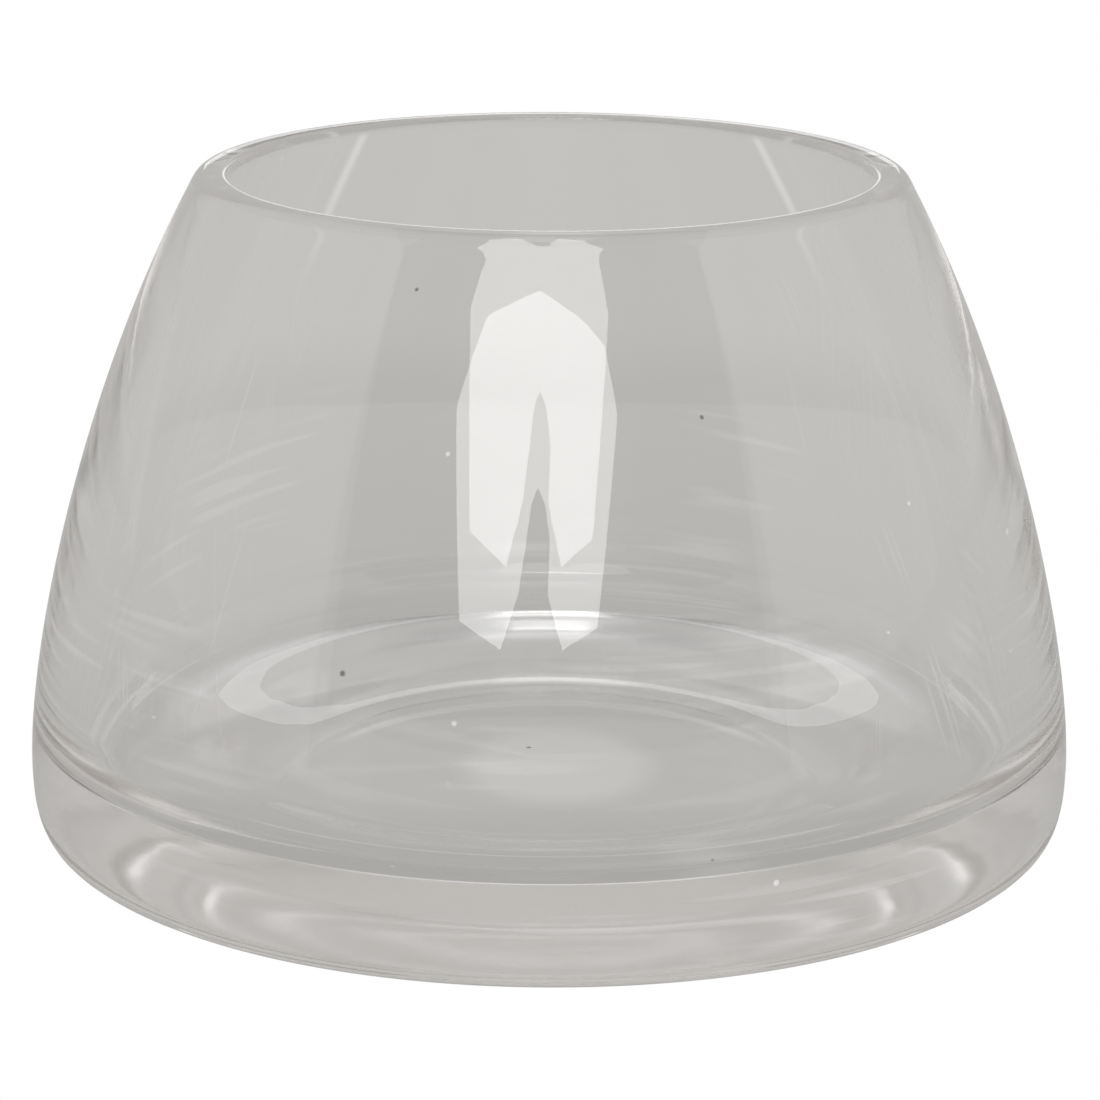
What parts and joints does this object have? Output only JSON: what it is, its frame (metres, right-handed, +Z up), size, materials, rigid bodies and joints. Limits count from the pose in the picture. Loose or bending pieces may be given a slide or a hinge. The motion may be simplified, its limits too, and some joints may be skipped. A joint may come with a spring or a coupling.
{
  "type": "votive candle holder",
  "caption": "Round cup of thick clear glass with a heavy base and walls that lean in to an open mouth, made to hold a votive or tealight candle.",
  "frame": {"origin": "centre of the foot ring, in the plane that the cup stands on", "axes": "+Z up along the axis that the cup is turned about, out of its mouth; X and Y are alike"},
  "size_m": [0.11, 0.11, 0.0704],
  "materials": {
    "clear_glass": "polished, transparent"
  },
  "bodies": {
    "root": {"glass_cup": "clear_glass"}
  },
  "joints": []
}
